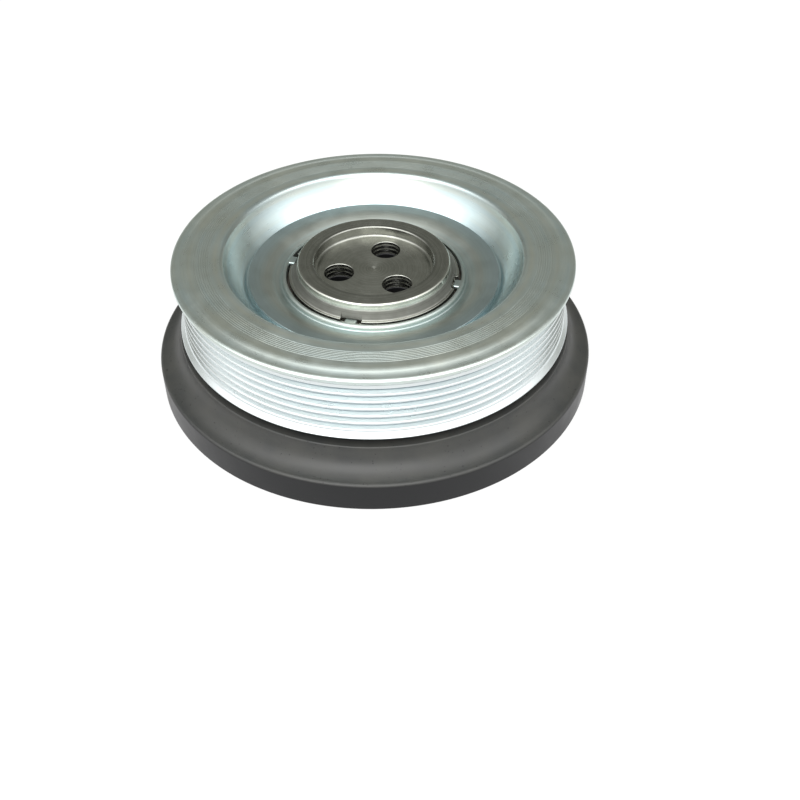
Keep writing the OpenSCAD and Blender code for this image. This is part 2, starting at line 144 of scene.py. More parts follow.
class TurnedSpace:
    """Where a point lies on a turned piece, in millimetres, as values in a material's nodes.

    place is the position itself, radius its distance from the axis and height its height. feed is the radius
    plus CLIMB times the height: it grows steadily along a flat face, a cylinder and a cone alike, as a tool's
    travel does. around is the unit vector from the axis to the point, so it changes only round the axis.
    """

    CLIMB = 1.7

    def __init__(self, tree: Tree) -> None:
        """Adds the nodes that all patterns share.

        Args:
            tree: the material's tree.
        """
        self.tree = tree
        at = add(tree, "TexCoord").outputs["Object"]
        self.place = add(tree, "VectorMath", (at, 1 / MM), operation="SCALE")
        flat = add(tree, "VectorMath", (self.place, (1.0, 1.0, 0.0)), operation="MULTIPLY")
        self.radius = add(tree, "VectorMath", (flat,), operation="LENGTH")
        self.around = add(tree, "VectorMath", (flat,), operation="NORMALIZE")
        self.height = add(tree, "SeparateXYZ", (self.place,)).outputs["Z"]
        self.feed = add(tree, "Math", (self.height, self.CLIMB, self.radius), operation="MULTIPLY_ADD")

    def rings(self, pitch: float, detail: float = 4.0) -> Value:
        """A noise that depends on the feed alone, so it runs in rings about pitch apart."""
        sockets = (self.feed, 1 / pitch, detail, NOISE_ROUGHNESS)
        return add(self.tree, "TexNoise", sockets, noise_dimensions="1D")

    def cloud(self, size: float, detail: float = 4.0) -> Value:
        """A noise in soft patches about size across."""
        return add(self.tree, "TexNoise", (self.place, 1 / size, detail, NOISE_ROUGHNESS))

    def arcs(self, width: float, turns: float) -> Value:
        """A noise drawn out round the axis.

        The noise is read at the unit vector from the axis, times the turns over a full circle, with the feed
        over the width added along Z.

        Args:
            width: the streaks' width, in millimetres.
            turns: how many streaks follow each other in a circle.

        Returns:
            The noise.
        """
        tree = self.tree
        along = add(tree, "VectorMath", (self.around, turns / math.tau), operation="SCALE")
        across = add(tree, "Math", (self.feed, 1 / width), operation="MULTIPLY")
        at = add(tree, "VectorMath", (along, add(tree, "CombineXYZ", {"Z": across})), operation="ADD")
        return add(tree, "TexNoise", (at, 1.0, 3.0, NOISE_ROUGHNESS))

    def near(self, radius: float, height: float, reach: float) -> Value:
        """1 on a circle round the axis, falling evenly with the distance from it.

        Args:
            radius: the circle's radius, in millimetres.
            height: its height, in millimetres.
            reach: the distance at which the value comes to 0, in millimetres.

        Returns:
            The value.
        """
        tree = self.tree
        off = add(tree, "Math", (self.radius, radius), operation="SUBTRACT")
        up = add(tree, "Math", (self.height, height), operation="SUBTRACT")
        distance = add(tree, "VectorMath", (add(tree, "CombineXYZ", (off, up)),), operation="LENGTH")
        return add(tree, "MapRange", (distance, 0.0, reach, 1.0, 0.0))


def started(name: str) -> tuple[bpy.types.Material, Tree, TurnedSpace]:
    """Starts a material.

    Args:
        name: the material's name.

    Returns:
        The material, its nodes, and where a point lies on its piece.
    """
    made = bpy.data.materials.new(name)
    made.use_nodes = True
    return made, made.node_tree, TurnedSpace(made.node_tree)


def lathe_gloss(tree: Tree, anisotropy: float) -> dict[str, object]:
    """The shader's inputs that spread a gloss across the turning marks, which run round the axis.

    Args:
        tree: the material's nodes.
        anisotropy: how far the gloss is drawn out, from 0 to 1.

    Returns:
        Values for the shader's inputs, by name.
    """
    tangent = add(tree, "Tangent", direction_type="RADIAL", axis="Z")
    # The tangent runs round the axis. A quarter turn makes the gloss spread square to it.
    return {"Anisotropic": anisotropy, "Anisotropic Rotation": 0.25, "Tangent": tangent}


# Finishes


@dataclass(frozen=True)
class ZincPlating:
    """Zinc plating with a clear passivation on steel sheet that was spun to shape.

    Zinc reflects about three quarters of the light. The passivation film gives it a faint green-blue cast
    that turns blue or straw-coloured in bands and patches. Painted shade, in a bluer tint, darkens the dish's
    corner, and painted shade darkens the bottoms of the belt grooves and fine rings and a band at the top of
    the dish's wall. A painted highlight brightens the belt track. The spinning roller leaves fine ripples
    round the axis, so that a highlight is drawn out across them and looks silky.

    A pair named radii or heights is the start and the end of a change, in millimetres.
    """

    name: str = "passivated_zinc_on_spun_steel"
    blue: str = "d5e4e4"
    plain: str = "d9e4e0"
    grey: str = "dae3dd"
    straw: str = "dce2d8"
    # Width of the tints' bands round the axis, size of their patches and the bands' share in the mix.
    band_mm: float = 9.0
    patch_mm: float = 30.0
    band_share: float = 0.55
    # Where each of the four tints lies in the mix of bands and patches.
    tint_levels: tuple[float, ...] = (0.38, 0.46, 0.54, 0.63)
    roughness: float = 0.3
    dull_patch_mm: float = 9.0
    anisotropy: float = 0.26
    # Width of the ripples, the depth of a full ripple and the tone at its bottom.
    ripple_mm: float = 1.3
    ripple_depth_mm: float = 0.012
    ripple_tone: float = 0.95
    # Width of the marks rubbed round the axis, and how many follow each other in a circle.
    rub_mm: float = 0.55
    rub_turns: float = 26.0
    # Their tone, how far they change the roughness either way, and their relief as a share of a ripple's.
    rub_tone: float = 0.975
    rub_scuff: float = 0.02
    rub_relief: float = 0.1
    # The zinc's real crystals, 0.02 mm across, are too fine to show, so they are drawn coarser. Their relief
    # is a share of a ripple's depth.
    crystal_mm: float = 0.8
    crystal_relief: float = 0.22
    # Radius and height of the dish's corner, where shade is painted in a bluer tint, how far that reaches,
    # and its share there.
    corner: Point = (55.3, 48.2)
    corner_reach: float = 9.0
    corner_share: float = 0.5
    corner_painted_shade: str = "a6c3cf"
    # Where the belt track, with its painted highlight, begins outwards and ends upwards, and its share of the
    # colour.
    track_radii: Point = (77.0, 79.0)
    track_heights: Point = (52.0, 53.5)
    track_share: float = 0.9
    track_painted_highlight: str = "eff5f6"
    # From the painted shade at the bottom of a belt groove to its flanks.
    groove_radii: Point = (79.3, 80.1)
    groove: str = "8494a0"
    # Painted shade at the top of the dish's wall: it darkens over the first radii and lifts over the second.
    shade_falls_radii: Point = (58.6, 62.3)
    shade_lifts_radii: Point = (62.8, 64.2)
    wall_painted_shade: float = 0.68
    # Radius of the outermost fine ring, the rings' distance, the painted shade in them, the cosine at which
    # they begin to darken, and where they lie.
    ring_r: float = 74.3
    ring_pitch: float = 0.92
    ring_painted_shade: float = 0.88
    ring_wave: float = -0.2
    rings_begin_radii: Point = (68.2, 68.4)
    rings_end_radii: Point = (74.7, 74.9)
    rings_heights: Point = (56.0, 56.5)

    def film(self, tree: Tree, space: TurnedSpace) -> Value:
        """The film's own colour: tints in bands and patches, and painted shade in a bluer tint in the dish's
        corner.

        Args:
            tree: the material's nodes.
            space: where a point lies on the piece.

        Returns:
            The colour.
        """
        bands = add(tree, "Math", (space.rings(self.band_mm, 2.0), self.band_share), operation="MULTIPLY")
        patches = space.cloud(self.patch_mm, 3.0)
        mixed = add(tree, "Math", (patches, 1 - self.band_share, bands), operation="MULTIPLY_ADD")
        tints = (self.blue, self.plain, self.grey, self.straw)
        tint = add(tree, "ValToRGB", (mixed,), stops=tuple(zip(self.tint_levels, tints)))
        # Painted shade in the dish's corner, in a bluer tint.
        corner = space.near(*self.corner, self.corner_reach)
        corner_shading = add(tree, "Math", (corner, self.corner_share), operation="MULTIPLY")
        return add(tree, "Mix", (corner_shading, tint, linear(self.corner_painted_shade)), data_type="RGBA")

    def worked(self, tree: Tree, space: TurnedSpace, film: Value) -> Value:
        """The painted light: a painted highlight on the belt track, painted shade in its grooves and at the
        top of the dish's wall.

        The track's share is the product of a ramp over the radius and one over the height. The wall's painted
        shade is the larger of a ramp that falls and one that rises with the radius.

        Args:
            tree: the material's nodes.
            space: where a point lies on the piece.
            film: the film's own colour.

        Returns:
            The colour.
        """
        # Painted highlight on the belt track, with painted shade in the bottoms of its grooves.
        outside = add(tree, "MapRange", (space.radius, *self.track_radii, 0.0, self.track_share))
        below = add(tree, "MapRange", (space.height, *self.track_heights, 1.0, 0.0))
        track = add(tree, "Math", (outside, below), operation="MULTIPLY")
        # Painted shade in the bottom of each belt groove.
        flanks = add(tree, "MapRange", (space.radius, *self.groove_radii, 0.0, 1.0))
        ribs = add(tree, "ValToRGB", (flanks,), stops=((0.0, self.groove), (1.0, self.track_painted_highlight)))
        tint = add(tree, "Mix", (track, film, ribs), data_type="RGBA")
        # Painted shade in a band at the top of the dish's wall.
        darkening = add(tree, "MapRange", (space.radius, *self.shade_falls_radii, 1.0, self.wall_painted_shade))
        lightening = add(tree, "MapRange", (space.radius, *self.shade_lifts_radii, self.wall_painted_shade, 1.0))
        wall_shade = add(tree, "Math", (darkening, lightening), operation="MAXIMUM")
        return add(tree, "VectorMath", (tint, wall_shade), operation="SCALE")

    def shaded_rings(self, tree: Tree, space: TurnedSpace, film: Value) -> Value:
        """Painted shade in the fine rings of the front face, darkest at each ring's own radius.

        The painted shade follows the cosine of the distance from the outermost ring, with a full turn to each
        pitch.

        Args:
            tree: the material's nodes.
            space: where a point lies on the piece.
            film: the film's colour outside the rings.

        Returns:
            The colour.
        """
        off = add(tree, "Math", (space.radius, self.ring_r), operation="SUBTRACT")
        turns = add(tree, "Math", (off, math.tau / self.ring_pitch), operation="MULTIPLY")
        wave = add(tree, "Math", (turns,), operation="COSINE")
        tone = add(tree, "MapRange", (wave, self.ring_wave, 1.0, 1.0, self.ring_painted_shade))
        # Painted shade in the fine rings.
        dark = add(tree, "VectorMath", (film, tone), operation="SCALE")
        begun = add(tree, "MapRange", (space.radius, *self.rings_begin_radii, 0.0, 1.0))
        going = add(tree, "MapRange", (space.radius, *self.rings_end_radii, 1.0, 0.0))
        high = add(tree, "MapRange", (space.height, *self.rings_heights, 0.0, 1.0))
        band = add(tree, "Math", (begun, going), operation="MULTIPLY")
        face = add(tree, "Math", (band, high), operation="MULTIPLY")
        return add(tree, "Mix", (face, film, dark), data_type="RGBA")

    def material(self) -> bpy.types.Material:
        """Builds the plating: the film with its painted light and shade, the roller's ripples, rubbed marks
        and crystals.

        Returns:
            The material.
        """
        made, tree, space = started(self.name)
        tint = self.shaded_rings(tree, space, self.worked(tree, space, self.film(tree, space)))
        ripples, rubbed = space.rings(self.ripple_mm, 3.0), space.arcs(self.rub_mm, self.rub_turns)
        rippled = add(tree, "MapRange", (ripples, *NOISE_SPAN, self.ripple_tone, 1.0))
        marked = add(tree, "MapRange", (rubbed, *NOISE_SPAN, self.rub_tone, 1.0))
        tone = add(tree, "Math", (rippled, marked), operation="MULTIPLY")
        colour = add(tree, "VectorMath", (tint, tone), operation="SCALE")
        smooth, rough = self.roughness - SMOOTHER, self.roughness + ROUGHER
        dull = add(tree, "MapRange", (space.cloud(self.dull_patch_mm, 5.0), *NOISE_SPAN, smooth, rough))
        scuffed = add(tree, "MapRange", (rubbed, *NOISE_SPAN, -self.rub_scuff, self.rub_scuff))
        roughness = add(tree, "Math", (dull, scuffed), operation="ADD")
        crystals = space.cloud(self.crystal_mm, 1.0)
        grained = add(tree, "Math", (crystals, self.crystal_relief, ripples), operation="MULTIPLY_ADD")
        height = add(tree, "Math", (rubbed, self.rub_relief, grained), operation="MULTIPLY_ADD")
        depth = self.ripple_depth_mm * MM
        bump = add(tree, "Bump", {"Strength": 1.0, "Distance": depth, "Height": height})
        inputs = {"Base Color": colour, "Roughness": roughness, "Metallic": 1.0, "Normal": bump}
        fill(tree, tree.nodes["Principled BSDF"], inputs | lathe_gloss(tree, self.anisotropy))
        return made


@dataclass(frozen=True)
class TurnedSteel:
    """Bare carbon steel, finish-turned on a lathe and lightly oiled.

    The tool's feed leaves fine concentric grooves. They draw a highlight out towards and away from the light,
    which shows on a flat turned face as two bright wedges, and the steel itself is a slightly warm grey. A
    painted highlight brightens the raised ring's outer wall, and painted shade darkens the cone, the recess's
    wall and, a little, the raised ring's top. The cone was also left with a coarser cut, so it is rougher.
    """

    name: str = "bare_turned_steel"
    light: str = "afb0a9"
    dark: str = "979890"
    # Where the dark and the light tone lie in the mix of feed marks and mottle, and the marks' share in it.
    tone_levels: Point = (0.38, 0.62)
    mark_share: float = 0.6
    mottle_mm: float = 5.0
    oil_mm: float = 16.0
    roughness: float = 0.23
    anisotropy: float = 0.7
    # A real feed of about 0.15 mm is too fine to show, so it is drawn coarser.
    feed_mm: float = 0.5
    groove_depth_mm: float = 0.006
    # Radius and height of the middle of the cone, half its width, its painted shade and how much rougher it
    # is. The shade is whole once the nearness to the middle has come to cone_whole.
    cone: Point = (33.7, 47.5)
    cone_half_w: float = 2.3
    cone_whole: float = 0.35
    cone_painted_shade: float = 0.6
    cone_rougher: float = 0.5
    # The same of the raised ring's outer wall, whose tone is a painted highlight, and of the recess's wall,
    # whose tone is painted shade.
    wall_whole: float = 0.4
    wall: Point = (32.2, 50.6)
    wall_half_w: float = 1.8
    wall_painted_highlight: float = 1.6
    recess: Point = (25.3, 49.9)
    recess_half_w: float = 2.8
    recess_painted_shade: float = 0.7
    # Where the painted shade on the raised ring's top begins upwards, and that shade.
    top_heights: Point = (51.7, 51.9)
    top_painted_shade: float = 0.84

    def material(self) -> bpy.types.Material:
        """Builds the steel: a faintly mottled grey with feed marks, painted highlight and shade on some
        surfaces, and oily patches.

        Returns:
            The material.
        """
        made, tree, space = started(self.name)
        marks = space.rings(self.feed_mm)
        fine = add(tree, "Math", (marks, self.mark_share), operation="MULTIPLY")
        mottle = space.cloud(self.mottle_mm)
        mixed = add(tree, "Math", (mottle, 1 - self.mark_share, fine), operation="MULTIPLY_ADD")
        stops = tuple(zip(self.tone_levels, (self.dark, self.light)))
        steel = add(tree, "ValToRGB", (mixed,), stops=stops)
        cone = space.near(*self.cone, self.cone_half_w)
        coarse = add(tree, "MapRange", (cone, 0.0, self.cone_whole, 0.0, 1.0))
        # Painted highlight on the raised ring's outer wall; painted shade on the recess's wall, the raised
        # ring's top and the cone.
        cuts = (
            (space.near(*self.wall, self.wall_half_w), 0.0, self.wall_whole, 1.0, self.wall_painted_highlight),
            (space.near(*self.recess, self.recess_half_w), 0.0, self.wall_whole, 1.0, self.recess_painted_shade),
            (space.height, *self.top_heights, 1.0, self.top_painted_shade),
            (coarse, 0.0, 1.0, 1.0, self.cone_painted_shade),
        )
        for cut in cuts:
            steel = add(tree, "VectorMath", (steel, add(tree, "MapRange", cut)), operation="SCALE")
        smooth, rough = self.roughness - SMOOTHER, self.roughness + ROUGHER
        oily = add(tree, "MapRange", (space.cloud(self.oil_mm, 3.0), *NOISE_SPAN, smooth, rough))
        roughness = add(tree, "Math", (coarse, self.cone_rougher, oily), operation="MULTIPLY_ADD")
        depth = self.groove_depth_mm * MM
        bump = add(tree, "Bump", {"Strength": 1.0, "Distance": depth, "Height": marks})
        inputs = {"Base Color": steel, "Roughness": roughness, "Metallic": 1.0, "Normal": bump}
        fill(tree, tree.nodes["Principled BSDF"], inputs | lathe_gloss(tree, self.anisotropy))
        return made


@dataclass(frozen=True)
class CoatedIron:
    """Cast iron, machined and then coated satin black.

    The coating is dark grey on the machined top, with a soft sheen where it faces the light, and a full
    blue-black low down on the outer side. A few small casting pores show as pits with painted shade in them,
    and the paint has a faint orange peel over the lathe's rings.
    """

    name: str = "black_coated_cast_iron"
    thin: str = "323332"
    worn: str = "3b3b38"
    full: str = "08090b"
    cloud_mm: float = 14.0
    # Where the thin and the worn film lie in the clouds.
    film_levels: Point = (0.35, 0.7)
    # The coating is blue-black below the first of these heights and dark grey above the second.
    side_heights: Point = (11.7, 12.6)
    roughness: float = 0.36
    ior: float = 1.43
    pore_mm: float = 0.9
    # Painted shade in the casting pores.
    pore_shade: str = "0e0e0d"
    # Only the highest peaks of the noise become pores, so they lie far apart.
    pore_levels: Point = (0.79, 0.83)
    peel_mm: float = 0.9
    ring_mm: float = 1.4
    peel_depth_mm: float = 0.012
    # How high the orange peel, the lathe's rings and the pores stand, as shares of that depth.
    peel_relief: float = 0.7
    ring_relief: float = 0.5
    pore_relief: float = -2.0

    def material(self) -> bpy.types.Material:
        """Builds the coating: faint clouds, the darker side, orange peel, turning lines and casting pores
        with painted shade in them.

        Returns:
            The material.
        """
        made, tree, space = started(self.name)
        cloud = space.cloud(self.cloud_mm, 5.0)
        stops = tuple(zip(self.film_levels, (self.thin, self.worn)))
        top = add(tree, "ValToRGB", (cloud,), stops=stops)
        side = add(tree, "MapRange", (space.height, *self.side_heights, 1.0, 0.0))
        coat = add(tree, "Mix", (side, top, linear(self.full)), data_type="RGBA")
        pores = add(tree, "MapRange", (space.cloud(self.pore_mm, 0.0), *self.pore_levels, 0.0, 1.0))
        # The pores get painted shade.
        colour = add(tree, "Mix", (pores, coat, linear(self.pore_shade)), data_type="RGBA")
        smooth, rough = self.roughness - SMOOTHER, self.roughness + ROUGHER
        roughness = add(tree, "MapRange", (cloud, *NOISE_SPAN, smooth, rough))
        peel = add(tree, "Math", (space.cloud(self.peel_mm, 2.0), self.peel_relief), operation="MULTIPLY")
        rings = space.rings(self.ring_mm)
        lined = add(tree, "Math", (rings, self.ring_relief, peel), operation="MULTIPLY_ADD")
        height = add(tree, "Math", (pores, self.pore_relief, lined), operation="MULTIPLY_ADD")
        depth = self.peel_depth_mm * MM
        bump = add(tree, "Bump", {"Strength": 0.6, "Distance": depth, "Height": height})
        inputs = {"Base Color": colour, "Roughness": roughness, "IOR": self.ior, "Normal": bump}
        fill(tree, tree.nodes["Principled BSDF"], inputs)
        return made


@dataclass(frozen=True)
class Moulding:
    """A moulded rubber or polymer: one dark colour with a dusty bloom and a fine moulded grain."""

    name: str
    body: str
    bloom: str
    roughness: float
    ior: float
    cloud_mm: float = 10.0
    # Where the body's colour and the bloom lie in the clouds, and how far the roughness changes with them.
    bloom_levels: Point = (0.4, 0.75)
    unevenness: float = 0.05
    grain_mm: float = 0.6
    grain_depth_mm: float = 0.02

    def material(self) -> bpy.types.Material:
        """Builds the moulding: a little bloom in soft patches and the mould's fine grain.

        Returns:
            The material.
        """
        made, tree, space = started(self.name)
        cloud = space.cloud(self.cloud_mm)
        stops = tuple(zip(self.bloom_levels, (self.body, self.bloom)))
        colour = add(tree, "ValToRGB", (cloud,), stops=stops)
        smooth, rough = self.roughness - self.unevenness, self.roughness + self.unevenness
        roughness = add(tree, "MapRange", (cloud, *NOISE_SPAN, smooth, rough))
        depth, grain = self.grain_depth_mm * MM, space.cloud(self.grain_mm, 2.0)
        bump = add(tree, "Bump", {"Strength": 0.3, "Distance": depth, "Height": grain})
        inputs = {"Base Color": colour, "Roughness": roughness, "IOR": self.ior, "Normal": bump}
        fill(tree, tree.nodes["Principled BSDF"], inputs)
        return made


class Finish(enum.Enum):
    """The finishes of the part's pieces."""

    ZINC = ZincPlating()
    # The plate is stamped from strip and has its own plating: rougher, because it was not spun smooth, and
    # darker than the pulley's.
    PLATE_ZINC = ZincPlating(
        name="passivated_zinc_on_stamped_steel",
        blue="adb9b7",
        plain="afbab6",
        grey="b1b8b3",
        straw="b1b7b0",
        corner_painted_shade="9db4be",
        roughness=0.36,
        anisotropy=0.2,
    )
    STEEL = TurnedSteel()
    IRON = CoatedIron()
    # The damper hub lies deep inside; its coating is drawn near-black everywhere, darker than the ring's, as
    # painted shade.
    SHADED_INNER_IRON = CoatedIron(name="black_iron_inside_painted_shade", thin="0d0e0f", worn="131314", roughness=0.5)
    # Rolled strip: matt mill-grey, with only a faint grain.
    SLEEVE = TurnedSteel(
        name="rolled_sleeve_steel", light="9a9b9a", dark="868787", roughness=0.42, anisotropy=0.3
    )
    # Natural rubber with carbon black, bonded in a mould: matt, with a grey bloom.
    RUBBER = Moulding("black_bonded_rubber", body="161616", bloom="222221", roughness=0.72, ior=1.52)
    # Polyamide filled with a dry lubricant, moulded: dark brown-grey and matt.
    POLYMER = Moulding("filled_polyamide", body="37322b", bloom="433d35", roughness=0.6, ior=1.53)


# Surfaces


# An arc with a radius of at most TINY_ARC, in millimetres, takes steps that are COARSER times as large.
TINY_ARC = 0.5
COARSER = 2.5
# Two sides whose half angle is above this, in degrees, count as one straight side.
STRAIGHT = 89.9
# Points of a mesh that lie closer than this, in millimetres, are merged.
MERGED_MM = 0.001
# Faces that meet at more than this angle, in degrees, meet in a crisp edge.
CRISP = 28.0


@dataclass
class Surface:
    """Points in millimetres and the four-sided faces between them. Faces point outwards."""

    points: Array
    faces: Array

    def joined(self, *others: "Surface") -> "Surface":
        """Puts other surfaces beside this one.

        Args:
            others: the other surfaces.

        Returns:
            All of them as one surface.
        """
        parts = (self, *others)
        starts = np.cumsum([0, *(len(p.points) for p in parts[:-1])])
        return Surface(
            np.concatenate([p.points for p in parts]),
            np.concatenate([p.faces + s for p, s in zip(parts, starts)]),
        )


def woven(points: Array, wrap_rows: bool, wrap_columns: bool, flip: bool = False) -> Surface:
    """Joins a grid of points with four-sided faces.

    Point (i, j) is joined to its neighbours in the next row and the next column. A wrapped grid also joins
    its last row or column to its first.

    Args:
        points: rows x columns x 3, in millimetres.
        wrap_rows: join the last row to the first.
        wrap_columns: join the last column to the first.
        flip: turn every face over.

    Returns:
        The surface.
    """
    rows, columns = points.shape[:2]
    i = np.arange(rows if wrap_rows else rows - 1)
    j = np.arange(columns if wrap_columns else columns - 1)
    a, b = np.meshgrid(i, j, indexing="ij")
    a2, b2 = (a + 1) % rows, (b + 1) % columns
    corners = [a * columns + b, a * columns + b2, a2 * columns + b2, a2 * columns + b]
    quads = np.stack(corners, axis=-1).reshape(-1, 4)
    return Surface(points.reshape(-1, 3), quads[:, ::-1] if flip else quads)


def signed_area(loop: Array) -> float:
    """Twice the area of a closed outline: positive if it runs anticlockwise."""
    following = np.roll(loop, -1, axis=0)
    return float((loop[:, 0] * following[:, 1] - following[:, 0] * loop[:, 1]).sum())


def rounded_corner(before: Array, corner: Array, after: Array, rounding: float, step: float) -> Array:
    """The arc that touches both sides of a corner.

    Its centre lies on the corner's bisector, at the rounding divided by the sine of half the corner's angle.
    The arc touches each side at the rounding divided by the tangent of that half angle from the corner.

    Args:
        before: the point before the corner.
        corner: the corner.
        after: the point after it.
        rounding: the arc's radius.
        step: the largest turn between two points, in degrees.

    Returns:
        Points x 2 along the arc. A straight or sharp corner gives back the corner alone.
    """
    u = (before - corner) / np.linalg.norm(before - corner)
    v = (after - corner) / np.linalg.norm(after - corner)
    half = math.acos(float(np.clip(u @ v, -1, 1))) / 2
    if rounding == 0 or half > math.radians(STRAIGHT):
        return corner[None]
    centre = corner + (u + v) / np.linalg.norm(u + v) * rounding / math.sin(half)
    first = corner + u * rounding / math.tan(half) - centre
    last = corner + v * rounding / math.tan(half) - centre
    sweep = math.atan2(first[0] * last[1] - first[1] * last[0], float(first @ last))
    largest = step if rounding > TINY_ARC else COARSER * step
    count = max(3, math.ceil(abs(math.degrees(sweep)) / largest) + 1)
    turns = np.linspace(0, sweep, count) + math.atan2(first[1], first[0])
    return centre + rounding * np.stack([np.cos(turns), np.sin(turns)], axis=-1)


def outline_of(
    corners: Sequence[Corner],
    closed: bool = True,
    step: float = 7.0,
    beside: float = 0.12,
    longest: float = 2.5,
) -> Array:
    """Turns corners into a fine outline in the half plane of radius and height.

    Each corner with a rounding becomes an arc. On the straight stretches, a point close beside each corner
    keeps the shading of the flat from bending into the corner, and more points are spread between the two.

    Args:
        corners: radius, height and rounding of each corner, in order.
        closed: the last corner is joined to the first.
        step: the largest turn between two points of an arc, in degrees.
        beside: distance of the extra point from its corner, in millimetres.
        longest: longest straight face, in millimetres.

    Returns:
        Points x 2, radius and height.
    """
    at = np.array([c[:2] for c in corners])
    count = len(at)
    rounding = [0.0 if not closed and k in (0, count - 1) else corners[k][2] for k in range(count)]
    arcs = [rounded_corner(at[k - 1], at[k], at[(k + 1) % count], rounding[k], step) for k in range(count)]
    pieces: list[Array] = []
    for k, arc in enumerate(arcs):
        pieces.append(arc)
        start, end = arc[-1], arcs[(k + 1) % count][0]
        length = float(np.linalg.norm(end - start))
        if length > 4 * beside and (closed or k < count - 1):
            spans = max(1, math.ceil((length - 2 * beside) / longest))
            shares = np.linspace(beside / length, 1 - beside / length, spans + 1)[:, None]
            pieces.append(start + (end - start) * shares)
    return np.concatenate(pieces)


def ellipse_part(centre: Point, a: float, b: float, start: float, sweep: float, count: int) -> list[Corner]:
    """Points on an ellipse, centre plus a times cosine and b times sine, as corners with no rounding."""
    t = np.radians(np.linspace(start, start + sweep, count))
    return [(float(r), float(z), 0.0) for r, z in zip(centre[0] + a * np.cos(t), centre[1] + b * np.sin(t))]


def turned(outline: Array, columns: int) -> Surface:
    """Carries a closed outline round the Z axis.

    A point at radius r, height z and angle t lies at (r cos t, r sin t, z). The outline's area, taken with
    its sign, tells which way it runs, so that the faces come to point outwards.

    Args:
        outline: points x 2, radius and height.
        columns: steps in a full turn.

    Returns:
        The surface.
    """
    t = np.linspace(0, 2 * np.pi, columns, endpoint=False)
    r, z = outline[:, :1], outline[:, 1:]
    points = np.stack([r * np.cos(t), r * np.sin(t), z + 0 * t], axis=-1)
    return woven(points, wrap_rows=True, wrap_columns=True, flip=signed_area(outline) < 0)


@dataclass(frozen=True)
class Place:
    """Where a piece belongs: the body it rides on, its material slot and the CAD node it replaces."""

    body: str
    slot: str
    replaced: str


def make_piece(name: str, surface: Surface, finish: Finish, place: Place) -> None:
    """Makes a piece of the object from a surface: merged, smooth-shaded with crisp edges, dressed and riding.

    Args:
        name: the piece's name.
        surface: its surface, in millimetres.
        finish: its finish.
        place: its body and CAD node. Its slot is not used.
    """
    mesh = bpy.data.meshes.new(name)
    mesh.from_pydata((surface.points * MM).tolist(), [], surface.faces.tolist())
    worked = bmesh.new()
    worked.from_mesh(mesh)
    bmesh.ops.remove_doubles(worked, verts=worked.verts, dist=MERGED_MM * MM)
    bmesh.ops.dissolve_degenerate(worked, edges=worked.edges, dist=MERGED_MM / 10 * MM)
    worked.to_mesh(mesh)
    worked.free()
    mesh.polygons.foreach_set("use_smooth", np.ones(len(mesh.polygons), dtype=bool))
    mesh.set_sharp_from_angle(angle=math.radians(CRISP))
    mesh.update()
    piece = bpy.data.objects.new(name, mesh)
    bpy.context.scene.collection.objects.link(piece)
    piece.data.materials.append(WORKSHOP[finish])
    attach(piece, place.body)
    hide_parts(place.replaced)
    log.info("%s: %d faces, %s", name, len(mesh.polygons), finish.value.name)


def dress(node: str, finish: Finish) -> None:
    """Gives a CAD node, which keeps its mesh, one of the finishes.

    Args:
        node: the node's name.
        finish: its finish.
    """
    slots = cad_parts[node].data.materials
    slots.clear()
    slots.append(WORKSHOP[finish])
    log.info("%s: CAD node, %s", node, finish.value.name)


# Sub-assemblies


@dataclass(frozen=True)
class PlateLine:
    """The upper line of the stop plate in the half plane of radius and height.

    It climbs outwards from the collar's foot to a soft bend, and then more gently to the plate's edge. The
    pulley's dish follows the same line one plate lower.
    """

    foot: Point = (39.1, 43.4)
    bend: Point = (45.5, 46.0)
    edge: Point = (53.1, 46.8)
    rounding: float = 18.0
    plate_t: float = 1.6

    def lowered(self, depth: float, inner_r: float, outer_r: float) -> tuple[Point, Point, Point]:
        """The same line, moved down square to itself.

        The bend moves along the mean of the two stretches' downward normals, by the depth over the cosine of
        the angle between that mean and either normal. The ends lie on the moved stretches, at the radii asked
        for.

        Args:
            depth: distance from the upper line.
            inner_r: radius of the inner end.
            outer_r: radius of the outer end.

        Returns:
            The inner end, the bend and the outer end.
        """
        at = np.array([self.foot, self.bend, self.edge])
        along = np.diff(at, axis=0) / np.linalg.norm(np.diff(at, axis=0), axis=1, keepdims=True)
        down = np.stack([along[:, 1], -along[:, 0]], axis=-1)
        mean = down.sum(axis=0) / np.linalg.norm(down.sum(axis=0))
        r, z = at[1] + mean * depth / float(mean @ down[0])
        slope = along[:, 1] / along[:, 0]
        inner, outer = z + (inner_r - r) * slope[0], z + (outer_r - r) * slope[1]
        return (inner_r, float(inner)), (float(r), float(z)), (outer_r, float(outer))


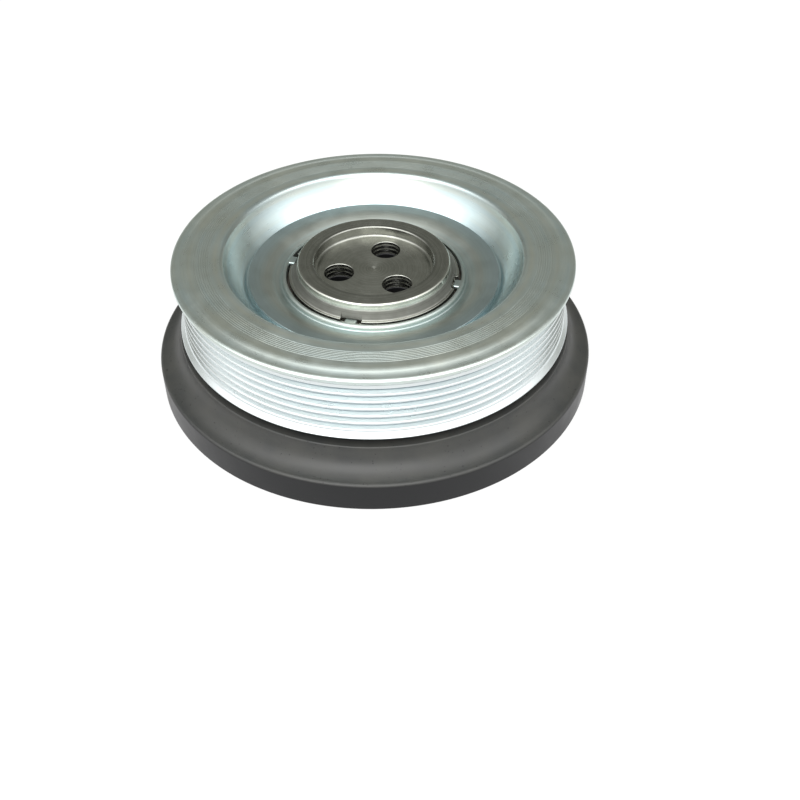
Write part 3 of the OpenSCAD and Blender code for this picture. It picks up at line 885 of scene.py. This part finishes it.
@dataclass
class StopPlate:
    """The stamped plate in the dish: a shallow cone with a collar at its bore and four lugs on the collar."""

    line: PlateLine = field(default_factory=PlateLine)
    collar_r: float = 37.2
    collar_w: float = 1.9
    collar_z: float = 46.0
    # The collar's crown is part of an ellipse, from this angle down to level, beside a small inner edge.
    crown_h: float = 1.4
    crown_from: float = 84.0
    crown_edge: float = 0.4
    lug_angle: float = 75.8
    lug_count: int = 4
    lug_w: float = 5.2
    lug_t: float = 1.9
    lug_tip_r: float = 34.5
    lug_corner_r: float = 1.0
    lug_edge_r: float = 0.7
    columns: int = 300

    def section(self) -> Array:
        """The plate's outline: up the collar's bore, over its crown, out along the top and back below.

        Returns:
            Points x 2, radius and height.
        """
        line, outer = self.line, self.line.edge[0]
        inner, bend, edge = line.lowered(line.plate_t, self.collar_r, outer)
        crown = self.collar_w - self.crown_edge
        centre = (self.collar_r + self.crown_edge, self.collar_z - self.crown_h)
        corners = [
            (*inner, 1.8),
            (self.collar_r, self.collar_z, self.crown_edge),
            *ellipse_part(centre, crown, self.crown_h, self.crown_from, -self.crown_from, 11),
            (*line.foot, 0.7),
            (*line.bend, line.rounding),
            (*line.edge, 0.3),
            (*edge, 0.3),
            (*bend, line.rounding),
        ]
        return outline_of(corners)

    def lug(self, angle: float) -> Surface:
        """One stop lug: a flat tongue from inside the collar's wall to a tip with rounded corners.

        Its plan is closed on itself. Each level of the tongue is that plan drawn in towards its middle by an
        inset, which follows a quarter circle at the lower and at the upper edge, and the whole plan at the
        two flat faces.

        Args:
            angle: its direction from +X, in degrees.

        Returns:
            The surface.
        """
        w, root, tip = self.lug_w / 2, self.collar_r + self.collar_w / 2, self.lug_tip_r
        corner = self.lug_corner_r
        corners = [(root, -w, 0), (tip, -w, corner), (tip, w, corner), (root, w, 0)]
        plan = outline_of(corners, step=10.0, beside=0.3)
        middle = np.array([(root + tip) / 2, 0.0])
        reach = np.linalg.norm(plan - middle, axis=1, keepdims=True)
        q = np.radians(np.linspace(0, 90, 5))
        rise, fall = self.lug_edge_r * (1 - np.cos(q)), self.lug_edge_r * (1 - np.sin(q))
        whole = np.array([reach.max()])
        inset = np.concatenate([whole, fall, rise, whole])
        low, high = self.collar_z - self.lug_t, self.collar_z
        level = np.concatenate([[low], low + rise, high - fall, [high]])
        flat = middle + (plan - middle) * np.clip(1 - inset[:, None, None] / reach, 0, 1)
        t = math.radians(angle)
        x = flat[..., 0] * math.cos(t) - flat[..., 1] * math.sin(t)
        y = flat[..., 0] * math.sin(t) + flat[..., 1] * math.cos(t)
        points = np.stack([x, y, level[:, None] + 0 * x], axis=-1)
        return woven(points, wrap_rows=False, wrap_columns=True, flip=signed_area(plan) < 0)

    def build(self) -> None:
        """Builds the plate with its lugs and puts it in place of its CAD node."""
        plate = turned(self.section(), self.columns)
        lugs = [self.lug(self.lug_angle + k * 360 / self.lug_count) for k in range(self.lug_count)]
        place = Place("pulley", "zinc_plated_steel", "stop_plate")
        make_piece("stop_plate_stamping", plate.joined(*lugs), Finish.PLATE_ZINC, place)


@dataclass
class BeltPulley:
    """The spun and plated belt pulley: front face with its rings, bead and lip, belt track and deep dish."""

    line: PlateLine = field(default_factory=PlateLine)
    seat_gap: float = 0.02
    seat_bore_r: float = 41.5
    dish_back_z: float = 40.7
    dish_foot_r: float = 54.0
    dish_foot_fillet: float = 1.2
    dish_r: float = 63.0
    # How far the dish's wall bows out. It leaves out the first share of its arc, where the fillet is, and
    # runs on for the next share, up to its rounded upper edge.
    wall_bow: float = 1.0
    wall_skipped: float = 1 / 12
    wall_share: float = 0.8
    dish_edge_round: float = 2.2
    face_z: float = 57.2
    face_t: float = 3.6
    sheet: float = 2.0
    thrust_r: float = 46.4
    rings: int = 7
    ring_pitch: float = 0.92
    ring_r: float = 74.3
    ring_half_w: float = 0.3
    ring_depth: float = 0.095
    ring_edge: float = 0.08
    ring_root: float = 0.06
    # The soft bead and the rounded lip, outwards: radius, height and rounding of each corner.
    bead: tuple[Corner, ...] = (
        (78.2, 57.2, 8.0),
        (80.8, 56.41, 10.0),
        (83.2, 56.3, 2.5),
        (84.0, 55.9, 0.4),
    )
    lip_r: float = 84.2
    lip_top_z: float = 55.5
    lip_foot_z: float = 54.6
    track_top_z: float = 52.2
    tip_r: float = 81.7
    bottom_r: float = 79.3
    shell_r: float = 76.7
    flare_r: float = 84.2
    flare_h: float = 2.4
    back_z: float = 26.7
    first_groove_z: float = 49.1
    groove_pitch: float = 3.56
    grooves: int = 6
    groove_bottom_w: float = 0.9
    groove_slope: float = 20.0
    groove_top_edge: float = 0.32
    groove_bottom_edge: float = 0.35
    columns: int = 230

    def face_rings(self) -> list[Corner]:
        """The fine turned rings of the front face, as shallow V grooves.

        Returns:
            Their corners, from the innermost ring outwards.
        """
        radii = self.ring_r - self.ring_pitch * np.arange(self.rings)[::-1]
        half, edge = self.ring_half_w, self.ring_edge
        shape = ((-half, 0.0, edge), (0.0, -self.ring_depth, self.ring_root), (half, 0.0, edge))
        return [(float(r) + off, self.face_z + up, rounding) for r in radii for off, up, rounding in shape]

    def track(self) -> list[Corner]:
        """The belt grooves, each with two sloping sides, a flat bottom and rounded edges.

        Half a groove's width at its top is half the bottom's, plus the depth times the tangent of the slope.

        Returns:
            Their corners, from the first groove back.
        """
        half = self.groove_bottom_w / 2
        top = half + (self.tip_r - self.bottom_r) * math.tan(math.radians(self.groove_slope))
        shape = ((self.tip_r, top, self.groove_top_edge), (self.bottom_r, half, self.groove_bottom_edge))
        shape += tuple((r, -off, rounding) for r, off, rounding in shape[::-1])
        heights = self.first_groove_z - self.groove_pitch * np.arange(self.grooves)
        return [(r, float(z) + off, rounding) for z in heights for r, off, rounding in shape]

    def walls(self, foot: Point) -> tuple[list[Corner], list[Corner]]:
        """The dish's wall and its back.

        The wall is an arc from the foot to the front face that bows out from the chord by wall_bow: its
        radius is (a quarter of the chord squared plus the bow squared) over twice the bow. The back is the
        same arc, one sheet further from the centre, from the height of the face's back down to the foot.

        Args:
            foot: radius and height of the wall's foot.

        Returns:
            The wall from its foot up, and its back from its top down.
        """
        low, top = np.array(foot), np.array((self.dish_r, self.face_z))
        chord = float(np.linalg.norm(top - low))
        along = (top - low) / chord
        radius = (chord * chord / 4 + self.wall_bow**2) / (2 * self.wall_bow)
        centre = (low + top) / 2 + np.array((-along[1], along[0])) * (radius - self.wall_bow)
        start = math.degrees(math.atan2(low[1] - centre[1], low[0] - centre[0]))
        sweep = math.degrees(math.atan2(top[1] - centre[1], top[0] - centre[0])) - start
        outer = radius + self.sheet
        back_top = math.degrees(math.asin((self.face_z - self.face_t - centre[1]) / outer))
        middle = (float(centre[0]), float(centre[1]))
        first = start + sweep * self.wall_skipped
        wall = ellipse_part(middle, radius, radius, first, sweep * self.wall_share, 32)
        return wall, ellipse_part(middle, outer, outer, back_top, start - back_top, 8)

    def section(self) -> Array:
        """The pulley's outline: seat, dish wall, front face, bead, lip, belt track, back edge and inside.

        Returns:
            Points x 2, radius and height.
        """
        depth = self.line.plate_t + self.seat_gap
        inner, bend, foot = self.line.lowered(depth, self.seat_bore_r, self.dish_foot_r)
        wall, back = self.walls(foot)
        corners = [
            (self.seat_bore_r, self.dish_back_z, 0.4),
            (*inner, 0.4),
            (*bend, self.line.rounding),
            (*foot, self.dish_foot_fillet),
            *wall,
            (self.dish_r, self.face_z, self.dish_edge_round),
            *self.face_rings(),
            *self.bead,
            (self.lip_r, self.lip_top_z, 0.3),
            (self.lip_r, self.lip_foot_z, 0.32),
            (self.tip_r, self.track_top_z, 1.0),
            *self.track(),
            (self.tip_r, self.back_z + self.flare_h, 1.0),
            (self.flare_r, self.back_z, 0.4),
            (self.shell_r, self.back_z, 0.4),
            (self.shell_r, self.face_z - self.face_t, 4.0),
            *back,
            (self.thrust_r, self.dish_back_z, 2.0),
        ]
        return outline_of(corners, longest=12.0)

    def build(self) -> None:
        """Builds the pulley and puts it in place of its CAD node."""
        place = Place("pulley", "zinc_plated_steel", "belt_pulley")
        make_piece("belt_pulley_shell", turned(self.section(), self.columns), Finish.ZINC, place)


@dataclass
class FrontHub:
    """The turned front hub: recess with bolt holes, raised ring, cone, and a flange with four notches."""

    floor_z: float = 47.3
    nose_z: float = 52.0
    recess_r: float = 25.3
    floor_edge_r: float = 24.05
    recess_fillet: float = 1.2
    recess_edge: float = 0.4
    nose_r: float = 32.2
    nose_edge: float = 0.45
    nose_foot_z: float = 49.0
    nose_fillet: float = 3.6
    flange_r: float = 36.1
    lip_w: float = 0.9
    lip_z: float = 46.0
    notch_z: float = 43.6
    notch_r: float = 34.0
    notch_half_w: float = 4.47
    notch_angle: float = 75.8
    journal_r: float = 34.4
    shoulder_z: float = 39.1
    spigot_r: float = 28.92
    under_z: float = 41.3
    bolt_r: float = 6.3
    bolt_circle_r: float = 15.0
    bolt_angle: float = 71.0
    bolt_chamfer: float = 0.15
    # The drill's real ridges are finer. These are as coarse as they need to be to show.
    ridge_pitch: float = 2.0
    ridge_depth: float = 0.22
    mark_r: float = 1.6
    mark_h: float = 0.4
    notch_columns: int = 16
    land_columns: int = 74

    def section(self) -> Array:
        """The outline outside the recess floor: up the wall, over the ring, down the cone and back below.

        Returns:
            Points x 2, radius and height.
        """
        corners = [
            (self.floor_edge_r, self.floor_z, 0.0),
            (self.recess_r, self.floor_z, self.recess_fillet),
            (self.recess_r, self.nose_z - self.recess_edge, 0.1),
            (self.recess_r + self.recess_edge, self.nose_z, 0.1),
            (self.nose_r - self.nose_edge, self.nose_z, 0.12),
            (self.nose_r, self.nose_z - self.nose_edge, 0.12),
            (self.nose_r, self.nose_foot_z, self.nose_fillet),
            (self.flange_r - self.lip_w, self.lip_z + 0.1, 0.25),
            (self.flange_r, self.lip_z, 0.3),
            (self.flange_r, self.notch_z, 0.3),
            (self.journal_r, self.notch_z, 0.0),
            (self.journal_r, self.shoulder_z, 0.3),
            (self.spigot_r, self.shoulder_z, 0.2),
            (self.spigot_r, self.under_z, 0.0),
        ]
        return outline_of(corners, closed=False, step=10.0)

    def column_angles(self, radius: Array) -> tuple[Array, Array]:
        """Angles of the columns at each radius, and which columns stand inside a notch.

        A notch has parallel sides, so its half angle is the arc sine of its half width over the radius. The
        columns inside are spread evenly over that angle, the others over what is left of the quarter turn,
        and the columns on the notch's edge are doubled: one belongs to the notch and one to the flange beside
        it.

        Args:
            radius: one value for each row.

        Returns:
            Angles in radians, rows x columns, and one True or False for each column.
        """
        half = np.degrees(np.arcsin(np.clip(self.notch_half_w / radius, 0, 1)))[:, None]
        inside = np.linspace(-1, 1, self.notch_columns + 1)[None]
        outside = np.linspace(0, 1, self.land_columns + 1)[None]
        quarter = np.concatenate([half * inside, half + (90 - 2 * half) * outside], axis=1)
        turns = [quarter + self.notch_angle + 90 * k for k in range(4)]
        within = np.tile(np.arange(quarter.shape[1]) <= self.notch_columns, 4)
        return np.radians(np.concatenate(turns, axis=1)), within

    def ring(self) -> tuple[Surface, Array]:
        """The body outside the recess floor, with the notches.

        A point of the section keeps its height. Inside a notch its radius is held to the notch's flat root,
        which lies at root / cos(angle from the notch's middle). The flange's underside becomes the notch's
        floor, between the journal and the root.

        Returns:
            The surface, and the angles of its columns at the floor's edge.
        """
        rows = self.section()
        r, z = rows[:, 0], rows[:, 1]
        cut = (z >= self.notch_z - 1e-6) & (r > self.notch_r)
        angles, within = self.column_angles(np.where(cut, r, self.journal_r))
        radius = np.repeat(r[:, None], angles.shape[1], axis=1)
        middle = np.radians(self.notch_angle)
        off = (angles - middle + np.pi / 4) % (np.pi / 2) - np.pi / 4
        root = self.notch_r / np.cos(off)
        floor_row = cut & (np.abs(z - self.notch_z) < 1e-6)
        share = np.clip((r - self.journal_r) / (self.flange_r - self.journal_r), 0, 1)[:, None]
        floor = self.journal_r + (root - self.journal_r) * share
        sunk = np.where(floor_row[:, None], floor, np.minimum(radius, root))
        radius = np.where(cut[:, None] & within[None], sunk, radius)
        height = np.repeat(z[:, None], angles.shape[1], axis=1)
        points = np.stack([radius * np.cos(angles), radius * np.sin(angles), height], axis=-1)
        return woven(points, wrap_rows=False, wrap_columns=True, flip=True), angles[0]

    def floor_loop(self, angles: Array, outer: float) -> Array:
        """The edge of one third of a floor: round the outer circle, in along a side, round the mark and out.

        Args:
            angles: the columns of this third, in radians, in order.
            outer: radius of the floor's outer circle.

        Returns:
            Points x 2, anticlockwise.
        """
        ring = np.stack([np.cos(angles), np.sin(angles)], axis=-1)
        side = np.linspace(1, 0, 14)[1:-1, None]
        first = ring[0] * (self.mark_r + (outer - self.mark_r) * side[::-1])
        last = ring[-1] * (self.mark_r + (outer - self.mark_r) * side)
        return np.concatenate([outer * ring, last, self.mark_r * ring[::-1], first])

    def floor_part(self, loop: Array, hole: Array, z: float, up: bool) -> Surface:
        """One third of a floor, between its own edge and the chamfered mouth of its bolt hole.

        Each point of the edge is joined by a straight line to the point of the hole's mouth that lies in the
        same direction from the hole's centre.

        Args:
            loop: the edge, points x 2.
            hole: the hole's centre.
            z: the floor's height.
            up: the floor looks up.

        Returns:
            The surface.
        """
        away = (loop - hole) / np.linalg.norm(loop - hole, axis=1, keepdims=True)
        mouth = hole + away * (self.bolt_r + self.bolt_chamfer)
        shares = np.array([0.0, 0.04, 0.5, 1.0])[:, None, None]
        flat = mouth + (loop - mouth) * shares
        points = np.concatenate([flat, np.full((*flat.shape[:2], 1), z)], axis=-1)
        return woven(points, wrap_rows=False, wrap_columns=True, flip=up)

    def bore(self, loop: Array, hole: Array) -> Surface:
        """One bolt hole: a chamfer, a wall with fine drilled ridges, and a chamfer.

        The wall's radius is bolt_r plus half the ridge depth times (1 minus the cosine of the depth's share
        of the ridge pitch, as a full turn), so the ridges' crests stand at bolt_r.

        Args:
            loop: the floor's edge, which gives the directions of the hole's columns.
            hole: the hole's centre.

        Returns:
            The surface.
        """
        away = (loop - hole) / np.linalg.norm(loop - hole, axis=1, keepdims=True)
        wide, c = self.bolt_r + self.bolt_chamfer, self.bolt_chamfer
        deep = self.floor_z - self.under_z
        wall = np.linspace(c, deep - c, 40)
        ridges = self.bolt_r + self.ridge_depth / 2 * (1 - np.cos(2 * np.pi * (wall - c) / self.ridge_pitch))
        r = np.concatenate([[wide], ridges, [wide]])[:, None, None]
        z = self.floor_z - np.concatenate([[0.0], wall, [deep]])
        flat = hole + away * r
        points = np.concatenate([flat, np.repeat(z[:, None, None], len(loop), axis=1)], axis=-1)
        return woven(points, wrap_rows=False, wrap_columns=True)

    def centre(self, angles: Array) -> list[Surface]:
        """The cone-shaped centre mark in the floor, and the middle of the underside.

        Args:
            angles: the columns all the way round, in radians.

        Returns:
            The two surfaces.
        """
        circle = np.stack([np.cos(angles), np.sin(angles)], axis=-1)
        r = np.array([self.mark_r, self.mark_r - 0.06, 0.5, 0.0])[:, None, None]
        z = self.floor_z - self.mark_h * (1 - r / self.mark_r)
        mark = np.concatenate([circle * r, np.broadcast_to(z, (4, len(angles), 1))], axis=-1)
        r = np.array([self.mark_r, 0.0])[:, None, None]
        plug = np.concatenate([circle * r, np.full((2, len(angles), 1), self.under_z)], axis=-1)
        return [
            woven(mark, wrap_rows=False, wrap_columns=True),
            woven(plug, wrap_rows=False, wrap_columns=True, flip=True),
        ]

    def build(self) -> None:
        """Builds the front hub and puts it in place of its CAD node."""
        ring, angles = self.ring()
        third = 120.0
        lowest = self.bolt_angle - third / 2
        order = np.unique(np.round((np.degrees(angles) - lowest) % 360, 6))
        cuts = [int(np.abs(order - k * third).argmin()) for k in range(3)] + [len(order)]
        cuts[3] += cuts[0]
        parts = self.centre(np.radians(lowest + order))
        for k in range(3):
            picked = np.take(order, np.arange(cuts[k], cuts[k + 1] + 1), mode="wrap")
            picked = np.radians(lowest + picked)
            t = math.radians(self.bolt_angle + third * k)
            hole = self.bolt_circle_r * np.array([math.cos(t), math.sin(t)])
            above = self.floor_loop(picked, self.floor_edge_r)
            below = self.floor_loop(picked, self.spigot_r)
            parts.append(self.floor_part(above, hole, self.floor_z, True))
            parts.append(self.bore(above, hole))
            parts.append(self.floor_part(below, hole, self.under_z, False))
        place = Place("hub", "turned_steel", "front_hub")
        make_piece("front_hub_turning", ring.joined(*parts), Finish.STEEL, place)


@dataclass
class InertiaRing:
    """The heavy damper ring, with a concave cove between its top and its straight side."""

    outer_r: float = 94.5
    bore_r: float = 66.0
    height: float = 23.3
    side_h: float = 12.9
    side_edge_r: float = 1.3
    cove_r: float = 84.3
    cove_edge_r: float = 0.5
    bore_foot_r: float = 0.8
    bore_top_r: float = 0.4
    side_foot_r: float = 0.3
    columns: int = 360

    def build(self) -> None:
        """Builds the ring and puts it in place of its CAD node."""
        foot, top = self.outer_r - self.side_edge_r, self.height - self.cove_edge_r
        corners = [
            (self.bore_r, 0.0, self.bore_foot_r),
            (self.outer_r, 0.0, self.side_foot_r),
            (self.outer_r, self.side_h, self.side_edge_r),
            *ellipse_part((foot, top), foot - self.cove_r, top - self.side_h, 270, -90, 34),
            (self.cove_r, self.height, self.cove_edge_r),
            (self.bore_r, self.height, self.bore_top_r),
        ]
        place = Place("hub", "coated_casting", "inertia_ring")
        make_piece("inertia_ring_casting", turned(outline_of(corners), self.columns), Finish.IRON, place)


@dataclass(frozen=True)
class InnerPieces:
    """The pieces between the hub, the ring and the pulley, which keep their CAD shapes."""

    finishes: tuple[tuple[str, Finish], ...] = (
        ("damper_hub", Finish.SHADED_INNER_IRON),
        ("damper_rubber", Finish.RUBBER),
        ("journal_bush", Finish.POLYMER),
        ("spring_inner_sleeve", Finish.SLEEVE),
        ("spring_rubber", Finish.RUBBER),
        ("spring_outer_sleeve", Finish.SLEEVE),
    )

    def build(self) -> None:
        """Dresses the CAD nodes."""
        for node, finish in self.finishes:
            dress(node, finish)


# Studio


@dataclass(frozen=True)
class Softbox:
    """A soft lamp: its name, place, two sizes in metres, power in watts and the point that it faces."""

    name: str
    place: tuple[float, float, float]
    size: tuple[float, float]
    power: float
    aim: tuple[float, float, float] = (0.0, 0.0, 0.04)

    def build(self) -> None:
        """Adds the lamp to the scene."""
        data = bpy.data.lights.new(self.name, "AREA")
        data.shape = "RECTANGLE"
        data.size, data.size_y = self.size
        data.energy = self.power
        lamp = bpy.data.objects.new(self.name, data)
        lamp.location = self.place
        lamp.rotation_euler = (Vector(self.aim) - Vector(self.place)).to_track_quat("-Z", "Y").to_euler()
        bpy.context.scene.collection.objects.link(lamp)


@dataclass
class Studio:
    """The pale floor, the lamps, the soft surroundings and the camera."""

    floor_r: float = 3.0
    floor_sides: int = 64
    # The floor lies a hair below the part, so that the two don't share a surface.
    floor_z: float = -0.0002
    # How much of the floor's plain white the camera sees. The rest is paper, which takes the shadow.
    floor_white: float = 0.85
    paper: str = "f2f2f1"
    camera_place: tuple[float, float, float] = (0.010906, -0.3662, 0.2982)
    camera_elevation: float = 41.646
    camera_roll: float = -0.0026
    focal_px: float = 1037.76
    image_px: float = 800.0
    sensor_mm: float = 36.0
    room_strength: float = 1.9
    # Levels by the sine of the elevation, as shares of that strength.
    front_levels: tuple[tuple[float, str], ...] = (
        (0.0, "868685"),
        (0.12, "a2a2a1"),
        (0.3, "eaeaea"),
        (0.55, "ffffff"),
        (0.8, "f4f4f4"),
        (1.0, "989997"),
    )
    back_levels: tuple[tuple[float, str], ...] = (
        (0.0, "8f908b"),
        (0.28, "6b6c67"),
        (0.47, "6a6b66"),
        (0.7, "666763"),
        (1.0, "989997"),
    )
    # The front's share falls from 1 to 0 between these two values of a direction's Y.
    front_fade: tuple[float, float] = (-0.12, 0.5)
    lamps: tuple[Softbox, ...] = (
        Softbox("front_softbox", (-0.12, -0.75, 0.85), (1.1, 0.7), 7.0),
        Softbox("overhead_softbox", (0.0, -0.14, 1.1), (2.2, 0.8), 8.6),
    )

    def floor(self) -> None:
        """A round white floor, white to the camera and in the metal, that keeps the object's soft shadow."""
        t = np.linspace(0, 2 * np.pi, self.floor_sides, endpoint=False)
        r = np.array([self.floor_r, 0.0])[:, None, None]
        circle = np.stack([np.cos(t), np.sin(t)], axis=-1) * r
        points = np.concatenate([circle, np.full((2, self.floor_sides, 1), self.floor_z)], axis=-1)
        surface = woven(points, wrap_rows=False, wrap_columns=True)
        mesh = bpy.data.meshes.new("floor")
        mesh.from_pydata(surface.points.tolist(), [], surface.faces.tolist())
        made = bpy.data.materials.new("white_paper_floor")
        made.use_nodes = True
        tree = made.node_tree
        tree.nodes.clear()
        paper = add(tree, "BsdfDiffuse", {"Color": linear(self.paper)})
        glow = add(tree, "Emission", {"Color": linear("ffffff"), "Strength": 1.0})
        path = add(tree, "LightPath").outputs
        mirrored = (path["Is Glossy Ray"], path["Is Transmission Ray"])
        metal = add(tree, "Math", mirrored, operation="MAXIMUM")
        share = add(tree, "Math", (path["Is Camera Ray"], self.floor_white), operation="MULTIPLY")
        share = add(tree, "Math", (share, metal), operation="MAXIMUM")
        add(tree, "OutputMaterial", {"Surface": add(tree, "MixShader", (share, paper, glow))})
        mesh.materials.append(made)
        floor = bpy.data.objects.new("floor", mesh)
        bpy.context.scene.collection.objects.link(floor)

    def surroundings(self) -> None:
        """The room: a wide bright arch in front, highest at 45 degrees, that fades to a dim back.

        The share of the front falls evenly with the direction's Y over front_fade. Front and back each have
        their own levels from the horizon to straight above, where they are the same.
        """
        world = bpy.data.worlds.new("studio_room")
        world.use_nodes = True
        tree = world.node_tree
        tree.nodes.clear()
        look = add(tree, "TexCoord").outputs["Generated"]
        part = add(tree, "SeparateXYZ", (look,)).outputs
        front = add(tree, "ValToRGB", (part["Z"],), stops=self.front_levels)
        back = add(tree, "ValToRGB", (part["Z"],), stops=self.back_levels)
        share = add(tree, "MapRange", (part["Y"], *self.front_fade, 1.0, 0.0))
        colour = add(tree, "Mix", (share, back, front), data_type="RGBA")
        glow = add(tree, "Background", {"Color": colour, "Strength": self.room_strength})
        add(tree, "OutputWorld", {"Surface": glow})
        bpy.context.scene.world = world

    def camera(self) -> None:
        """The camera at the photograph's place. It looks along +Y and down by its elevation, barely rolled.

        Its lens is the sensor's width times the focal length in pixels over the picture's width in pixels.
        """
        data = bpy.data.cameras.new("camera")
        data.sensor_width = self.sensor_mm
        data.lens = self.sensor_mm * self.focal_px / self.image_px
        data.clip_start, data.clip_end = 0.01, 20.0
        camera = bpy.data.objects.new("camera", data)
        tilt = Matrix.Rotation(math.radians(90 - self.camera_elevation), 4, "X")
        roll = Matrix.Rotation(self.camera_roll, 4, "Z")
        camera.matrix_world = Matrix.Translation(self.camera_place) @ tilt @ roll
        bpy.context.scene.collection.objects.link(camera)
        bpy.context.scene.camera = camera

    def build(self) -> None:
        """Builds the studio."""
        bpy.context.scene.view_settings.view_transform = "Standard"
        self.floor()
        self.surroundings()
        self.camera()
        for lamp in self.lamps:
            lamp.build()
        log.info("studio: floor, room, camera and %d softboxes", len(self.lamps))


WORKSHOP: dict[Finish, bpy.types.Material] = {}


def main() -> None:
    """Builds the finishes, the pieces of the balancer and the studio, in that order."""
    logging.basicConfig(level=logging.INFO, format="%(name)s: %(message)s")
    WORKSHOP.update({finish: finish.value.material() for finish in Finish})
    BeltPulley().build()
    StopPlate().build()
    FrontHub().build()
    InertiaRing().build()
    InnerPieces().build()
    Studio().build()


if __name__ == "__main__":
    main()
